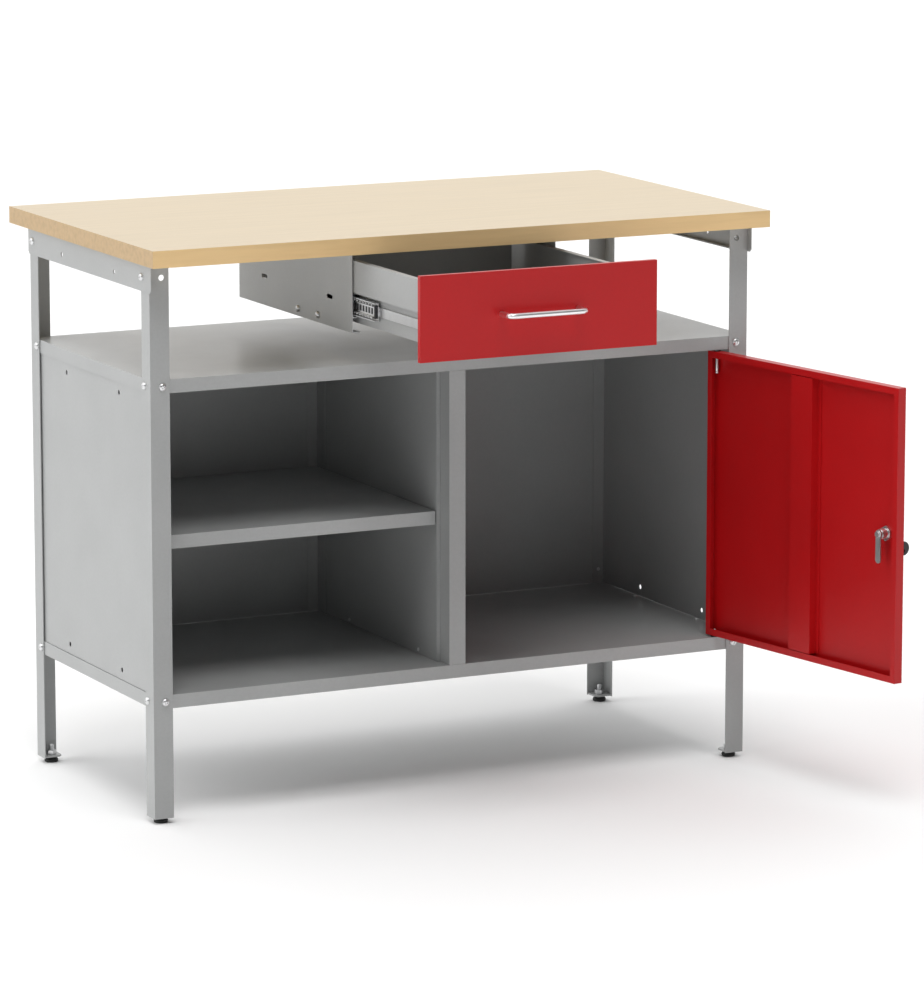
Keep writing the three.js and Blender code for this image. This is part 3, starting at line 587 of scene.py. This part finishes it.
shelf_top = high("bottom_shelf").z
shelf_above = low("upper_shelf").z
for side, sx in SIDES:
    lo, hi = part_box(f"side_panel_{side}")
    panel_x = outer(lo.x, hi.x, sx)
    for i, y in enumerate(FLOOR_SCREWS_Y):
        at = (panel_x - sx * FLOOR_SCREWS_IN, y, shelf_top)
        screw(f"floor_screw_{side}_{i + 1}", at, (0, 0, 1), "frame", WIDE_SCREW_SIZE)
    for i, z in enumerate((shelf_top + BACK_SCREWS_RISE, hi.z - BACK_SCREWS_DROP)):
        at = (panel_x - sx * BACK_SCREWS_IN, hi.y - BACK_SHEET, z)
        name = f"back_corner_screw_{side}_{i + 1}"
        screw(name, at, (0, -1, 0), "frame", NARROW_SCREW_SIZE)
divider_zs = (shelf_top + DIVIDER_SCREWS_RISE, shelf_above - DIVIDER_SCREWS_DROP)
for i, y in enumerate(DIVIDER_SCREWS_Y):
    for j, z in enumerate(divider_zs):
        at = (low("divider").x, y, z)
        name = f"divider_screw_{i + 1}_{j + 1}"
        screw(name, at, (-1, 0, 0), "frame", NARROW_SCREW_SIZE)


# ---- feet ---------------------------------------------------------------------------------

STUD_RADIUS = 3.95 * mm
STUD_ROOT = 3.3 * mm
STUD_START = 7.4 * mm
THREAD_START = 8.0 * mm
THREAD_PITCH = 1.0 * mm


def rubber_pad(r):
    return [
        (0, 0), (r - 1.6 * mm, 0), (r - 0.3 * mm, 0.7 * mm), (r, 2.2 * mm), (r, 4.0 * mm),
        (r - 1.2 * mm, 5.6 * mm), (r - 3.6 * mm, 6.4 * mm), (5.4 * mm, 6.6 * mm),
        (5.0 * mm, 7.6 * mm), (0, 7.6 * mm),
    ]


def threaded_stud(top):
    """Ridges of the thread, one ring each, up to a chamfered end."""
    stud = [(0, STUD_START), (STUD_ROOT, STUD_START)]
    height = THREAD_START
    while height < top - 1.2 * mm:
        stud += [(STUD_ROOT, height), (STUD_RADIUS, height + THREAD_PITCH / 2)]
        height += THREAD_PITCH
    return stud + [(3.2 * mm, top - 0.5 * mm), (2.6 * mm, top), (0, top)]


for side, _ in SIDES:
    for end, _ in ENDS:
        node = f"foot_{end}_{side}"
        lo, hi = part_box(node)
        center = Vector((middle(node).x, middle(node).y, lo.z))
        pad = rubber_pad((hi.x - lo.x) / 2)
        foot = lathe(f"rubber_foot_{end}_{side}", pad, center, (0, 0, 1), 48)
        paint(foot, "black_rubber", node)
        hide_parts(node)
        stud = threaded_stud(hi.z - lo.z)
        paint(lathe(f"foot_stud_{end}_{side}", stud, center, (0, 0, 1), 24), "zinc", node)


# ---- door: pins and lock ------------------------------------------------------------------

PIN_RADIUS = 2.5 * mm
PIN_GROOVE = 1.7 * mm


def turned_pin(r, length):
    """A pin with a rounded tip at 0 and a groove for a clip near its other end."""
    return [
        (0, 0), (r - 0.5 * mm, 0), (r, 0.6 * mm), (r, length - 4 * mm),
        (PIN_GROOVE, length - 3.6 * mm), (PIN_GROOVE, length - 3.0 * mm),
        (r, length - 2.6 * mm), (r, length - 0.7 * mm), (r - 0.7 * mm, length), (0, length),
    ]


for level, up in (("upper", -1), ("lower", 1)):
    node = f"hinge_pin_{level}"
    lo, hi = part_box(node)
    tip = Vector((middle(node).x, middle(node).y, outer(hi.z, lo.z, up)))
    profile = turned_pin(PIN_RADIUS, hi.z - lo.z)
    pin = lathe(f"turned_pin_{level}", profile, tip, (0, 0, up), 32)
    paint(pin, "zinc", "door")
    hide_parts(node)


# Profiles of (radius, height) in millimetres. Height 0 is the door's outer face.
LOCK_BODY = [
    (3.1, 1.4), (3.6, 2.4), (8.9, 2.4), (9.9, 1.5), (9.9, 0.3),
    (7.9, 0.3), (7.9, -13.2), (7.2, -14.9), (3.1, -14.9), (3.1, 1.4),
]
KEY_SHAFT = [
    (0, -17.2), (2.5, -17.2), (2.5, 4.0), (3.4, 4.4), (3.4, 13.0),
    (2.9, 13.6), (2.9, 20.4), (2.2, 21.0), (0, 21.0),
]

turn = next(joint for joint in frame["joints"] if joint["name"] == "lock_turn")
outward = Vector(turn["axis"]).normalized()
lock_at = Vector(turn["pos_m"])
shell = lathe("lock_body", scaled(LOCK_BODY), lock_at, outward, 56)
paint(shell, "chrome", "door")
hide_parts("lock_barrel")
stem = lathe("key_shaft", scaled(KEY_SHAFT), lock_at, outward, 32)
paint(stem, "zinc", "lock_key")
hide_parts("key_stem")


# ---- floor, light and camera --------------------------------------------------------------

FLOOR_REACH = 30
GREY_FLOOR = (0.955, 0.955, 0.955)
PALE_FLOOR = (0.965, 0.965, 0.965)

scene = bpy.context.scene
floor_z = cad_box[0][2]
corners = [
    (x * FLOOR_REACH, y * FLOOR_REACH, floor_z)
    for x, y in ((-1, -1), (1, -1), (1, 1), (-1, 1))
]
floor_mesh = bpy.data.meshes.new("floor")
floor_mesh.from_pydata(corners, [], [(0, 1, 2, 3)])
floor = bpy.data.objects.new("floor", floor_mesh)
scene.collection.objects.link(floor)
floor_look = Nodes("pale_floor", (0.90, 0.90, 0.90), 0.9)
floor_look.shader.inputs["Specular IOR Level"].default_value = 0.0
clouds = floor_look.noise(1.5, 2)
floor_look.color(floor_look.ramp(clouds, [(0.3, GREY_FLOOR), (0.7, PALE_FLOOR)]))
floor_mesh.materials.append(floor_look.material)


def studio(name, dark, bright):
    """White surroundings, as strong as `dark` in front of the bench and `bright` behind it."""
    world = bpy.data.worlds.new(name)
    world.use_nodes = True
    tree = world.node_tree
    background = tree.nodes["Background"]
    background.inputs["Color"].default_value = (1, 1, 1, 1)
    around = tree.nodes.new("ShaderNodeTexCoord").outputs["Generated"]
    direction = tree.nodes.new("ShaderNodeSeparateXYZ")
    tree.links.new(around, direction.inputs["Vector"])
    strength = tree.nodes.new("ShaderNodeMapRange")
    strength.interpolation_type = "SMOOTHSTEP"
    strength.inputs["From Min"].default_value = -0.6
    strength.inputs["From Max"].default_value = 0.5
    strength.inputs["To Min"].default_value = dark
    strength.inputs["To Max"].default_value = bright
    tree.links.new(direction.outputs["Y"], strength.inputs["Value"])
    tree.links.new(strength.outputs["Result"], background.inputs["Strength"])
    return world


def soft_sun(name, toward, strength, angle):
    """A sun that stands in the direction `toward` and is `angle` degrees wide."""
    data = bpy.data.lights.new(name, "SUN")
    data.energy = strength
    data.angle = math.radians(angle)
    obj = bpy.data.objects.new(name, data)
    obj.rotation_euler = (-Vector(toward)).to_track_quat("-Z", "Y").to_euler()
    scene.collection.objects.link(obj)


scene.view_settings.view_transform = "Standard"
scene.view_settings.look = "None"
scene.world = studio("studio", 0.16, 1.15)
soft_sun("studio_key", (-0.80, 0.10, 0.60), 0.64, 45)
soft_sun("studio_fill", (-0.10, -0.37, 0.925), 1.34, 32)

CAMERA_AT = (-3.42157, -7.16423, 1.04296)
CAMERA_YAW = 26.323
CAMERA_PITCH = 10.612
camera_data = bpy.data.cameras.new("camera")
camera_data.lens = 192.24
camera_data.sensor_width = 36
camera_data.clip_end = 100
camera = bpy.data.objects.new("camera", camera_data)
camera.location = CAMERA_AT
tilt = math.pi / 2 - math.radians(CAMERA_PITCH)
camera.rotation_euler = (tilt, 0, -math.radians(CAMERA_YAW))
scene.collection.objects.link(camera)
scene.camera = camera
